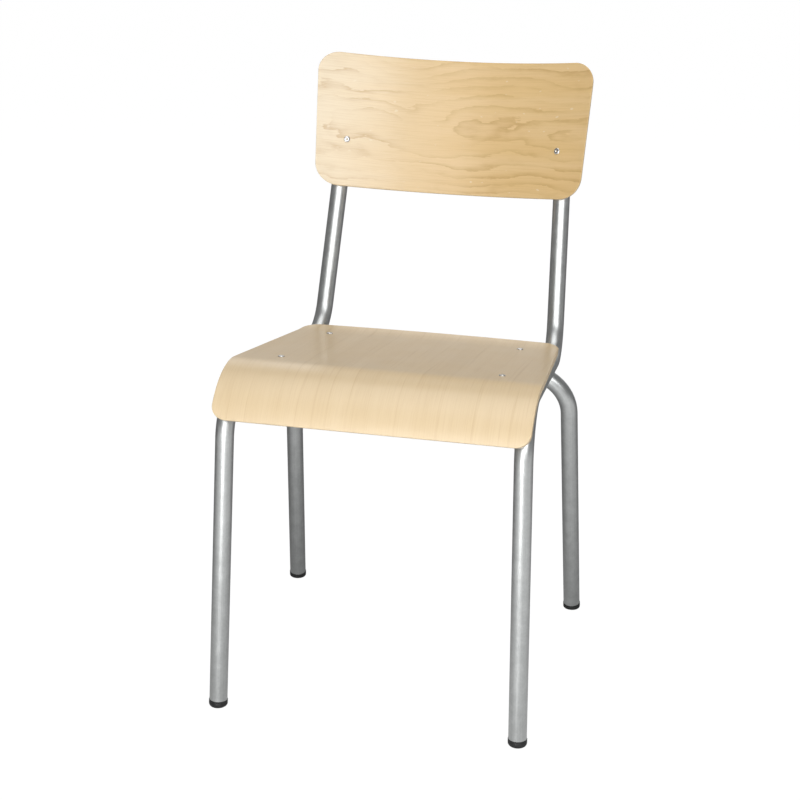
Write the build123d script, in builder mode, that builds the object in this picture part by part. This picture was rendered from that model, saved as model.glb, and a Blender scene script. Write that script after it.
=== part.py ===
"""Stacking chair with a bent steel tube frame and a moulded plywood seat and back.

The chair faces -Y and stands on Z = 0. X = 0 is its plane of symmetry, and the
origin is below the middle of its bounding box. "Left" is the -X side and
"right" is the +X side. All lengths are in millimetres.
"""

import os
from math import atan2, cos, degrees, radians, sin, sqrt

from build123d import *

os.makedirs("parts", exist_ok=True)

# ---------------------------------------------------------------- tube stock
TUBE_R = 12.5
TUBE_WALL = 1.5
CROSS_R = 10.0
CROSS_WALL = 1.5

# ------------------------------------------- side tube: leg, rail and upright
FRONT_FOOT = (211.0, -278.0, 0.0)
FRONT_CORNER = (199.0, -250.0, 467.7)
REAR_CORNER = (180.2, 138.6, 415.0)
UPRIGHT_TOP = (164.0, 266.0, 800.0)
FRONT_BEND_R = 73.0
REAR_BEND_R = 64.0

# ------------------------------------------------- rear leg tube, one hoop
REAR_FOOT = (224.0, 152.0, 0.0)
HOOP_CORNER = (209.8, 89.0, 403.8)
HOOP_BEND_R = 65.0

# ------------------------------------------------------------- cross tubes
FRONT_CROSS_Y = -155.5
REAR_CROSS_Y = 52.0
CROSS_LIFT = 2.0

# -------------------------------------------------------------------- seat
SEAT_T = 9.0
SEAT_FRONT_R = 97.0
SEAT_FRONT_TURN = 95.0
SEAT_FRONT_Z = 425.0
SEAT_BEND_Y = -181.0
SEAT_LIFT_Y = 63.0
SEAT_LIFT_R = 217.5
SEAT_REAR_Y = 109.0
SEAT_FRONT_HALF = 212.0
SEAT_REAR_HALF = 192.5
SEAT_REAR_BOW = 4.2
SEAT_REAR_CORNER_R = 24.0
SEAT_DROP_CORNER_R = 20.0

# -------------------------------------------------------------- back board
BACK_T = 7.5
BACK_R = 425.0
BACK_TOP = 110.2
BACK_BOTTOM = -90.3
BACK_TOP_HALF = 209.0
BACK_BOTTOM_HALF = 200.6
BACK_TOP_CORNER_R = 30.0
BACK_BOTTOM_CORNER_R = 33.5
BACK_LEVEL_Z = 720.0

# ------------------------------------------------------------------ rivets
RIVET_R = 2.4
RIVET_HEAD_R = 4.8
RIVET_HEAD_H = 1.6
RIVET_BORE_R = 1.2
SEAT_RIVET_FRONT_X = 152.5
SEAT_RIVET_REAR_X = 142.5
BACK_RIVET_Z = 701.0

# ---------------------------------------------------------- feet and plugs
FOOT_R = 13.1
FOOT_HEIGHT = 10.0
FOOT_EDGE_R = 4.0
FOOT_SPIGOT = 22.0
PLUG_HEAD = 3.5
PLUG_SPIGOT = 18.0
FIT_GAP = 0.05

# -------------------------------------------------------------- weld beads
BEAD = 2.0
HOOP_BEAD = 3.0


# ------------------------------------------------------------ derived sizes
RAIL_SLOPE = (REAR_CORNER[2] - FRONT_CORNER[2]) / (REAR_CORNER[1] - FRONT_CORNER[1])
RAIL_TAPER = (REAR_CORNER[0] - FRONT_CORNER[0]) / (REAR_CORNER[1] - FRONT_CORNER[1])
SEAT_ANGLE = degrees(atan2(RAIL_SLOPE, 1.0))
UPRIGHT = Vector(*UPRIGHT_TOP) - Vector(*REAR_CORNER)


def rail_z(y):
    """Height of the rail's centre line at a depth y."""
    return FRONT_CORNER[2] + RAIL_SLOPE * (y - FRONT_CORNER[1])


def rail_x(y):
    """Distance of the rail's centre line from the middle plane at a depth y."""
    return FRONT_CORNER[0] + RAIL_TAPER * (y - FRONT_CORNER[1])


def seat_plane(x, y):
    """Plane on the seat's underside above the rails, with +Z out of the seat."""
    lift = TUBE_R / cos(radians(SEAT_ANGLE))
    return Plane(
        origin=(x, y, rail_z(y) + lift),
        x_dir=(1, 0, 0),
        z_dir=(0, -sin(radians(SEAT_ANGLE)), cos(radians(SEAT_ANGLE))),
    )


def bent_line(points, radii):
    """Polyline through the points with each inner corner rounded to its radius."""
    corners = [Vector(*p) for p in points]
    edges = []
    start = corners[0]
    for index, radius in enumerate(radii, start=1):
        corner = corners[index]
        back = (corners[index - 1] - corner).normalized()
        ahead = (corners[index + 1] - corner).normalized()
        half = radians(back.get_angle(ahead)) / 2
        reach = radius * cos(half) / sin(half)
        to_centre = (back + ahead).normalized()
        middle = corner + to_centre * (radius / sin(half) - radius)
        begin = corner + back * reach
        end = corner + ahead * reach
        edges.append(Edge.make_line(start, begin))
        edges.append(Edge.make_three_point_arc(begin, middle, end))
        start = end
    edges.append(Edge.make_line(start, corners[-1]))
    return Wire(edges)


def swept_rod(path, radius):
    """Solid rod of one radius along a path."""
    with BuildPart() as rod:
        with BuildSketch(Plane(origin=path @ 0, z_dir=path % 0)):
            Circle(radius)
        sweep(path=path)
    return rod.part


def along(point, towards, distance):
    """Point at a distance from one point on the way to another."""
    start = Vector(*point)
    return start + (Vector(*towards) - start).normalized() * distance


# ------------------------------------------------------------ frame tubes
side_path = bent_line(
    [
        along(FRONT_FOOT, FRONT_CORNER, FOOT_HEIGHT),
        FRONT_CORNER,
        REAR_CORNER,
        UPRIGHT_TOP,
    ],
    [FRONT_BEND_R, REAR_BEND_R],
)
side_rod = swept_rod(side_path, TUBE_R)
side_bore = swept_rod(side_path, TUBE_R - TUBE_WALL)
side_halo = swept_rod(side_path, TUBE_R + BEAD)

hoop_path = bent_line(
    [
        along(REAR_FOOT, HOOP_CORNER, FOOT_HEIGHT),
        HOOP_CORNER,
        (-HOOP_CORNER[0], HOOP_CORNER[1], HOOP_CORNER[2]),
        along(
            (-REAR_FOOT[0], REAR_FOOT[1], REAR_FOOT[2]),
            (-HOOP_CORNER[0], HOOP_CORNER[1], HOOP_CORNER[2]),
            FOOT_HEIGHT,
        ),
    ],
    [HOOP_BEND_R, HOOP_BEND_R],
)
hoop_rod = swept_rod(hoop_path, TUBE_R)
hoop_bore = swept_rod(hoop_path, TUBE_R - TUBE_WALL)


def cross_plane(y):
    """Plane across the chair at its middle, on the axis of a cross tube."""
    return Plane(origin=(0, y, rail_z(y) + CROSS_LIFT), x_dir=(0, 1, 0), z_dir=(1, 0, 0))


def cross_rod(y, radius):
    """Solid rod from one rail's centre line to the other's."""
    with BuildPart() as rod:
        with BuildSketch(cross_plane(y)):
            Circle(radius)
        extrude(amount=rail_x(y), both=True)
    return rod.part


# ---------------------------------------------------------- rivet positions
class Rivet:
    """One rivet: where its head sits, which way it points and what it grips."""

    def __init__(self, head, axis, grip):
        self.head = head
        self.axis = axis
        self.grip = grip

    def plane(self):
        """Plane under the rivet's head, with +Z out of the board."""
        return Plane(origin=self.head, x_dir=(1, 0, 0), z_dir=self.axis)


def seat_rivet(x, y):
    """Rivet through the seat and the cross tube at (x, y)."""
    plane = seat_plane(x, y)
    head = plane.origin + plane.z_dir * SEAT_T
    grip = SEAT_T + TUBE_R - CROSS_LIFT + CROSS_R
    return Rivet(head, plane.z_dir, grip)


def back_centre():
    """Plane of the back board's curve centre, with +Z up the board."""
    gone = (BACK_LEVEL_Z - REAR_CORNER[2]) / UPRIGHT.Z
    axis = Vector(*REAR_CORNER) + UPRIGHT * gone
    reach = BACK_R + BACK_T + TUBE_R + FIT_GAP
    forward = sqrt(reach**2 - axis.X**2)
    turn = axis.X / forward * -UPRIGHT.X / UPRIGHT.Z
    lean = atan2(UPRIGHT.Y, UPRIGHT.Z) - turn * cos(atan2(UPRIGHT.Y, UPRIGHT.Z))
    up = Vector(0, sin(lean), cos(lean))
    front = Vector(0, -cos(lean), sin(lean))
    origin = Vector(0, axis.Y, axis.Z) + front * forward
    return Plane(origin=origin, x_dir=(1, 0, 0), z_dir=up)


def back_rivet():
    """Rivet through the back board, pointing at the upright's axis."""
    centre = back_centre()
    gone = (BACK_RIVET_Z - REAR_CORNER[2]) / UPRIGHT.Z
    axis = Vector(*REAR_CORNER) + UPRIGHT * gone
    height = (axis - centre.origin).dot(centre.z_dir)
    pivot = centre.origin + centre.z_dir * height
    outward = (pivot - axis).normalized()
    grip = (pivot - axis).length - BACK_R + TUBE_R
    return Rivet(pivot - outward * (BACK_R - FIT_GAP), outward, grip)


front_rivet = seat_rivet(SEAT_RIVET_FRONT_X, FRONT_CROSS_Y)
rear_rivet = seat_rivet(SEAT_RIVET_REAR_X, REAR_CROSS_Y)
upper_rivet = back_rivet()


def rivet_hole(rivet):
    """Shank of a rivet, longer than its grip at both ends."""
    with BuildPart() as hole:
        with BuildSketch(rivet.plane().offset(10)):
            Circle(RIVET_R + FIT_GAP)
        extrude(amount=-rivet.grip - 20)
    return hole.part


# --------------------------------------------------------------- side tubes
with BuildPart() as right_side_tube:
    add(side_rod)
    add(side_bore, mode=Mode.SUBTRACT)
    add(rivet_hole(upper_rivet), mode=Mode.SUBTRACT)

with BuildPart() as left_side_tube:
    mirror(right_side_tube.part, about=Plane.YZ)

# ------------------------------------------------------------ rear leg tube
with BuildPart() as rear_leg_tube:
    add(hoop_rod)
    add(hoop_bore, mode=Mode.SUBTRACT)


# -------------------------------------------------------------- cross tubes
def cross_tube(y, rivet):
    """Hollow cross tube coped to both rails and drilled for its rivets."""
    with BuildPart() as tube:
        add(cross_rod(y, CROSS_R))
        add(cross_rod(y, CROSS_R - CROSS_WALL), mode=Mode.SUBTRACT)
        add(side_rod, mode=Mode.SUBTRACT)
        mirror(side_rod, about=Plane.YZ, mode=Mode.SUBTRACT)
        add(rivet_hole(rivet), mode=Mode.SUBTRACT)
        mirror(rivet_hole(rivet), about=Plane.YZ, mode=Mode.SUBTRACT)
    return tube


front_cross_tube = cross_tube(FRONT_CROSS_Y, front_rivet)
rear_cross_tube = cross_tube(REAR_CROSS_Y, rear_rivet)


# --------------------------------------------------------------- seat board
def seat_side(offset):
    """Side line of the seat at a height over its underside, rear to front."""
    angle = radians(SEAT_ANGLE)
    base = seat_plane(0, SEAT_LIFT_Y)
    up = Vector(base.z_dir.Y, base.z_dir.Z)
    rear = Vector(cos(angle), sin(angle))
    lift = Vector(base.origin.Y, base.origin.Z) + up * offset
    swing = (SEAT_REAR_Y - SEAT_LIFT_Y) / SEAT_LIFT_R
    lift_r = SEAT_LIFT_R - offset
    half = swing / 2
    end = lift + rear * lift_r * sin(swing) + up * lift_r * (1 - cos(swing))
    mid = lift + rear * lift_r * sin(half) + up * lift_r * (1 - cos(half))
    bend = lift - rear * ((SEAT_LIFT_Y - SEAT_BEND_Y) / cos(angle))
    return end, mid, lift, bend


with BuildPart() as seat_board:
    with BuildSketch(Plane.YZ):
        with BuildLine():
            low_end, low_mid, low_lift, low_bend = seat_side(0)
            top_end, top_mid, top_lift, top_bend = seat_side(SEAT_T)
            ThreePointArc(low_end, low_mid, low_lift)
            under = Line(low_lift, low_bend)
            low_drop = JernArc(low_bend, under % 1, SEAT_FRONT_R - SEAT_T, SEAT_FRONT_TURN)
            ThreePointArc(top_end, top_mid, top_lift)
            over = Line(top_lift, top_bend)
            top_drop = JernArc(top_bend, over % 1, SEAT_FRONT_R, SEAT_FRONT_TURN)
            Line(low_drop @ 1, top_drop @ 1)
            Line(low_end, top_end)
        make_face()
    extrude(amount=SEAT_FRONT_HALF + 10, both=True)
    with BuildSketch(Plane.XY):
        with BuildLine():
            rear_corner_y = SEAT_REAR_Y - SEAT_REAR_BOW
            rear_right = (SEAT_REAR_HALF, rear_corner_y)
            rear_left = (-SEAT_REAR_HALF, rear_corner_y)
            bend_right = (SEAT_FRONT_HALF, SEAT_BEND_Y)
            bend_left = (-SEAT_FRONT_HALF, SEAT_BEND_Y)
            front_right = (SEAT_FRONT_HALF, SEAT_BEND_Y - 2 * SEAT_FRONT_R)
            front_left = (-SEAT_FRONT_HALF, SEAT_BEND_Y - 2 * SEAT_FRONT_R)
            ThreePointArc(rear_left, (0, SEAT_REAR_Y), rear_right)
            Polyline(rear_right, bend_right, front_right, front_left, bend_left, rear_left)
        make_face()
        corners = vertices().sort_by(Axis.Y)[-2:]
        fillet(corners, SEAT_REAR_CORNER_R)
    extrude(amount=600, mode=Mode.INTERSECT)
    with BuildSketch(Plane.XZ):
        with Locations((0, SEAT_FRONT_Z)):
            Rectangle(2 * SEAT_FRONT_HALF, 300, align=(Align.CENTER, Align.MIN))
        fillet(vertices().sort_by(Axis.Y)[:2], SEAT_DROP_CORNER_R)
    extrude(amount=600, both=True, mode=Mode.INTERSECT)
    add(rivet_hole(front_rivet), mode=Mode.SUBTRACT)
    mirror(rivet_hole(front_rivet), about=Plane.YZ, mode=Mode.SUBTRACT)
    add(rivet_hole(rear_rivet), mode=Mode.SUBTRACT)
    mirror(rivet_hole(rear_rivet), about=Plane.YZ, mode=Mode.SUBTRACT)

# --------------------------------------------------------------- back board
with BuildPart() as back_board:
    curve = back_centre()
    with BuildSketch(curve):
        Circle(BACK_R + BACK_T)
        Circle(BACK_R, mode=Mode.SUBTRACT)
    extrude(amount=BACK_TOP + 20, both=True)
    face_plane = Plane(origin=curve.origin, x_dir=(1, 0, 0), z_dir=-curve.y_dir)
    with BuildSketch(face_plane):
        with BuildLine():
            Polyline(
                (-BACK_BOTTOM_HALF, BACK_BOTTOM),
                (BACK_BOTTOM_HALF, BACK_BOTTOM),
                (BACK_TOP_HALF, BACK_TOP),
                (-BACK_TOP_HALF, BACK_TOP),
                close=True,
            )
        make_face()
        fillet(vertices().sort_by(Axis.Y)[:2], BACK_BOTTOM_CORNER_R)
        fillet(vertices().sort_by(Axis.Y)[-2:], BACK_TOP_CORNER_R)
    extrude(amount=-BACK_R - 50, mode=Mode.INTERSECT)
    add(rivet_hole(upper_rivet), mode=Mode.SUBTRACT)
    mirror(rivet_hole(upper_rivet), about=Plane.YZ, mode=Mode.SUBTRACT)


# ------------------------------------------------------------------- rivets
def rivet_solid(rivet):
    """Domed rivet with a hollow centre and a formed tail."""
    with BuildPart() as pin:
        with BuildSketch(rivet.plane()):
            Circle(RIVET_HEAD_R)
        extrude(amount=RIVET_HEAD_H)
        fillet(pin.edges().sort_by(rivet_axis(rivet))[-1:], RIVET_HEAD_H - 0.3)
        with BuildSketch(rivet.plane()):
            Circle(RIVET_R)
        extrude(amount=-rivet.grip - FIT_GAP)
        tail = rivet.plane().offset(-rivet.grip - FIT_GAP)
        with BuildSketch(tail):
            Circle(RIVET_HEAD_R - 1)
        extrude(amount=-RIVET_HEAD_H)
        with BuildSketch(rivet.plane().offset(RIVET_HEAD_H)):
            Circle(RIVET_BORE_R)
        extrude(amount=-RIVET_HEAD_H - 3, mode=Mode.SUBTRACT)
    return pin.part


def rivet_axis(rivet):
    """Axis of a rivet, pointing out through its head."""
    return Axis(rivet.head, rivet.axis)


def pair(solid):
    """A right-hand solid and its mirror image on the left."""
    with BuildPart() as right:
        add(solid)
    with BuildPart() as left:
        mirror(solid, about=Plane.YZ)
    return right, left


rivet_front_right, rivet_front_left = pair(rivet_solid(front_rivet))
rivet_rear_right, rivet_rear_left = pair(rivet_solid(rear_rivet))
back_rivet_right, back_rivet_left = pair(rivet_solid(upper_rivet))


# ----------------------------------------------------------- feet and plugs
def foot(floor_point, corner):
    """Moulded foot cap with a spigot up the leg, cut flat on the floor."""
    leg = (Vector(*corner) - Vector(*floor_point)).normalized()
    sunk = 4.0
    with BuildPart() as cap:
        with BuildSketch(Plane(origin=Vector(*floor_point) - leg * sunk, z_dir=leg)):
            Circle(FOOT_R)
        extrude(amount=FOOT_HEIGHT + sunk)
        with BuildSketch(Plane(origin=Vector(*floor_point) + leg * FOOT_HEIGHT, z_dir=leg)):
            Circle(TUBE_R - TUBE_WALL - FIT_GAP)
        extrude(amount=FOOT_SPIGOT)
        split(bisect_by=Plane.XY, keep=Keep.TOP)
        fillet(cap.edges().group_by(Axis.Z)[0], FOOT_EDGE_R)
    return cap.part


def plug():
    """Domed plug in the open top end of an upright."""
    with BuildPart() as cap:
        with BuildSketch(Plane(origin=UPRIGHT_TOP, z_dir=UPRIGHT)):
            Circle(TUBE_R)
        extrude(amount=PLUG_HEAD)
        fillet(cap.edges().sort_by(Axis(UPRIGHT_TOP, UPRIGHT))[-1:], PLUG_HEAD - 0.5)
        with BuildSketch(Plane(origin=UPRIGHT_TOP, z_dir=UPRIGHT)):
            Circle(TUBE_R - TUBE_WALL - FIT_GAP)
        extrude(amount=-PLUG_SPIGOT)
    return cap.part


foot_front_right, foot_front_left = pair(foot(FRONT_FOOT, FRONT_CORNER))
foot_rear_right, foot_rear_left = pair(foot(REAR_FOOT, HOOP_CORNER))
plug_right, plug_left = pair(plug())


# --------------------------------------------------------------- weld beads
def cross_bead(y):
    """Bead around the inner end of a cross tube, where it meets the rail."""
    with BuildPart() as bead:
        with BuildSketch(cross_plane(y)):
            Circle(CROSS_R + BEAD)
            Circle(CROSS_R, mode=Mode.SUBTRACT)
        extrude(amount=rail_x(y) - 2)
        add(side_halo, mode=Mode.INTERSECT)
        add(side_rod, mode=Mode.SUBTRACT)
        with BuildSketch(seat_plane(0, y)):
            Rectangle(600, 60)
        extrude(amount=20, mode=Mode.SUBTRACT)
    return bead.part


def hoop_bead():
    """Bead around the touching line of a rail and the rear leg tube."""
    with BuildPart() as bead:
        add(swept_rod(side_path, TUBE_R + HOOP_BEAD))
        add(swept_rod(hoop_path, TUBE_R + HOOP_BEAD), mode=Mode.INTERSECT)
        add(side_rod, mode=Mode.SUBTRACT)
        add(hoop_rod, mode=Mode.SUBTRACT)
    return bead.part


weld_front_right, weld_front_left = pair(cross_bead(FRONT_CROSS_Y))
weld_rear_right, weld_rear_left = pair(cross_bead(REAR_CROSS_Y))
weld_hoop_right, weld_hoop_left = pair(hoop_bead())

# ------------------------------------------------------------------- export
right_side_tube.part.label = "right_side_tube"
left_side_tube.part.label = "left_side_tube"
rear_leg_tube.part.label = "rear_leg_tube"
front_cross_tube.part.label = "front_cross_tube"
rear_cross_tube.part.label = "rear_cross_tube"
seat_board.part.label = "seat_board"
back_board.part.label = "back_board"
rivet_front_right.part.label = "rivet_front_right"
rivet_front_left.part.label = "rivet_front_left"
rivet_rear_right.part.label = "rivet_rear_right"
rivet_rear_left.part.label = "rivet_rear_left"
back_rivet_right.part.label = "back_rivet_right"
back_rivet_left.part.label = "back_rivet_left"
foot_front_right.part.label = "foot_front_right"
foot_front_left.part.label = "foot_front_left"
foot_rear_right.part.label = "foot_rear_right"
foot_rear_left.part.label = "foot_rear_left"
plug_right.part.label = "plug_right"
plug_left.part.label = "plug_left"
weld_front_right.part.label = "weld_front_right"
weld_front_left.part.label = "weld_front_left"
weld_rear_right.part.label = "weld_rear_right"
weld_rear_left.part.label = "weld_rear_left"
weld_hoop_right.part.label = "weld_hoop_right"
weld_hoop_left.part.label = "weld_hoop_left"

export_step(right_side_tube.part, "parts/right_side_tube.step")
export_step(left_side_tube.part, "parts/left_side_tube.step")
export_step(rear_leg_tube.part, "parts/rear_leg_tube.step")
export_step(front_cross_tube.part, "parts/front_cross_tube.step")
export_step(rear_cross_tube.part, "parts/rear_cross_tube.step")
export_step(seat_board.part, "parts/seat_board.step")
export_step(back_board.part, "parts/back_board.step")
export_step(rivet_front_right.part, "parts/rivet_front_right.step")
export_step(rivet_front_left.part, "parts/rivet_front_left.step")
export_step(rivet_rear_right.part, "parts/rivet_rear_right.step")
export_step(rivet_rear_left.part, "parts/rivet_rear_left.step")
export_step(back_rivet_right.part, "parts/back_rivet_right.step")
export_step(back_rivet_left.part, "parts/back_rivet_left.step")
export_step(foot_front_right.part, "parts/foot_front_right.step")
export_step(foot_front_left.part, "parts/foot_front_left.step")
export_step(foot_rear_right.part, "parts/foot_rear_right.step")
export_step(foot_rear_left.part, "parts/foot_rear_left.step")
export_step(plug_right.part, "parts/plug_right.step")
export_step(plug_left.part, "parts/plug_left.step")
export_step(weld_front_right.part, "parts/weld_front_right.step")
export_step(weld_front_left.part, "parts/weld_front_left.step")
export_step(weld_rear_right.part, "parts/weld_rear_right.step")
export_step(weld_rear_left.part, "parts/weld_rear_left.step")
export_step(weld_hoop_right.part, "parts/weld_hoop_right.step")
export_step(weld_hoop_left.part, "parts/weld_hoop_left.step")
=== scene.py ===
"""Stacking chair: the looks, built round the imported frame.

Every length is in metres and every piece lies in the frame's own axes. The
chair faces -Y and stands on Z = 0, and X = 0 is its plane of symmetry.
"""

import logging
import math
from collections.abc import Callable, Sequence
from dataclasses import dataclass, field
from enum import Enum

import bmesh
import bpy
from mathutils import Matrix, Vector


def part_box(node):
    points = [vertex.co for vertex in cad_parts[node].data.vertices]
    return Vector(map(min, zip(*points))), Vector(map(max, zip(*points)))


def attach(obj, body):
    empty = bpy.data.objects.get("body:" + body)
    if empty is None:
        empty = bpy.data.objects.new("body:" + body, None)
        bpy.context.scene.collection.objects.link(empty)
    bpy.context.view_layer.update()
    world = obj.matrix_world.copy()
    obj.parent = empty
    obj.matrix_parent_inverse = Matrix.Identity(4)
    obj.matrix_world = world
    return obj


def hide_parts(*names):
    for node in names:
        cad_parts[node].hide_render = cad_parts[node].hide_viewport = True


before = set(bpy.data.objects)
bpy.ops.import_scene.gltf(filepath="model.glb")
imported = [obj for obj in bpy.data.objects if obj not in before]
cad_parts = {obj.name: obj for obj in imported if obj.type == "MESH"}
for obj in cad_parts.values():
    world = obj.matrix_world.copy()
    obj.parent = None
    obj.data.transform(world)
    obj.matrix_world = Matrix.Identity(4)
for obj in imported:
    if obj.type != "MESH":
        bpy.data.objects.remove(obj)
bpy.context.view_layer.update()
BODY = "root"
LOG = logging.getLogger("stacking_chair")

Colour = tuple[float, float, float, float]
Point2 = tuple[float, float]


class Side(Enum):
    """The two sides of the chair, as the sign of X."""

    LEFT = -1
    RIGHT = 1

    @property
    def word(self) -> str:
        """The side's name as the nodes spell it."""
        return self.name.lower()


class GrainWay(Enum):
    """The way the face veneer's grain runs over a board."""

    ACROSS = "side to side"
    DOWN = "front to back"


# ------------------------------------------------------------------ helpers
def both_sides(point: Vector, side: Side) -> Vector:
    """A right-hand point, or its mirror image on the left."""
    return Vector((point.x * side.value, point.y, point.z))


def rounded_path(
    points: Sequence[Vector], radii: Sequence[float], step: float = math.radians(3)
) -> list[Vector]:
    """Rounds the inner corners of a run of straight lines.

    Args:
        points: The corners of the run, with its two ends.
        radii: One bend radius for each inner corner.
        step: The largest turn between two points of a bend.

    Returns:
        The points of the rounded run.
    """
    path = [points[0].copy()]
    for index, radius in enumerate(radii, start=1):
        corner = points[index]
        back = (points[index - 1] - corner).normalized()
        ahead = (points[index + 1] - corner).normalized()
        half = back.angle(ahead) / 2
        begin = corner + back * (radius / math.tan(half))
        centre = corner + (back + ahead).normalized() * (radius / math.sin(half))
        spoke = begin - centre
        turn = math.pi - 2 * half
        axis = back.cross(ahead).normalized()
        count = max(2, math.ceil(turn / step))
        for k in range(count + 1):
            path.append(centre + Matrix.Rotation(-turn * k / count, 3, axis) @ spoke)
    path.append(points[-1].copy())
    return path


def even_path(path: Sequence[Vector], step: float) -> list[Vector]:
    """Adds points on the long runs of a path, so that none is over a step apart."""
    out = [path[0]]
    for a, b in zip(path, path[1:]):
        count = max(1, math.ceil((b - a).length / step))
        out.extend(a.lerp(b, k / count) for k in range(1, count + 1))
    return out


def thread(name: str, points: Sequence[Vector], closed: bool = False) -> bpy.types.Object:
    """A mesh object of bare edges, for a node tree to turn into a curve."""
    mesh = bpy.data.meshes.new(name)
    edges = [(i, i + 1) for i in range(len(points) - 1)]
    if closed:
        edges.append((len(points) - 1, 0))
    mesh.from_pydata([tuple(p) for p in points], edges, [])
    return object_of(name, mesh)


def object_of(name: str, data: bpy.types.ID) -> bpy.types.Object:
    """A linked object at the origin that holds a mesh, a light or a camera."""
    thing = bpy.data.objects.new(name, data)
    bpy.context.scene.collection.objects.link(thing)
    return thing


def smooth_mesh(bm: bmesh.types.BMesh, name: str) -> bpy.types.Mesh:
    """Turns an edit mesh into a smooth shaded mesh and frees it."""
    mesh = bpy.data.meshes.new(name)
    bm.to_mesh(mesh)
    bm.free()
    mesh.shade_smooth()
    return mesh


def middle_of(node: str) -> Vector:
    """The middle of a CAD node's box."""
    low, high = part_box(node)
    return (low + high) / 2


def round_steps(count: int) -> list[Point2]:
    """The cosine and sine of evenly spaced angles round a full turn."""
    angles = [math.tau * k / count for k in range(count)]
    return [(math.cos(angle), math.sin(angle)) for angle in angles]


def quarter_steps(count: int, first: int = 0) -> list[Point2]:
    """The cosine and sine of evenly spaced angles over a quarter turn."""
    angles = [math.pi / 2 * k / count for k in range(first, count + 1)]
    return [(math.cos(angle), math.sin(angle)) for angle in angles]


def lathe(profile: Sequence[Point2], sides: int) -> bmesh.types.BMesh:
    """Turns a profile of (radius, height) points about Z into a closed mesh."""
    bm = bmesh.new()
    rings: list[list[bmesh.types.BMVert]] = []
    for radius, height in profile:
        if radius == 0.0:
            rings.append([bm.verts.new((0.0, 0.0, height))])
            continue
        steps = round_steps(sides)
        rings.append([bm.verts.new((radius * cos, radius * sin, height)) for cos, sin in steps])
    for low, high in zip(rings, rings[1:]):
        for k in range(sides):
            n = (k + 1) % sides
            a, b = len(low), len(high)
            corners = [low[k % a], low[n % a], high[n % b], high[k % b]]
            bm.faces.new(list(dict.fromkeys(corners)))
    bmesh.ops.recalc_face_normals(bm, faces=bm.faces)
    return bm


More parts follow.
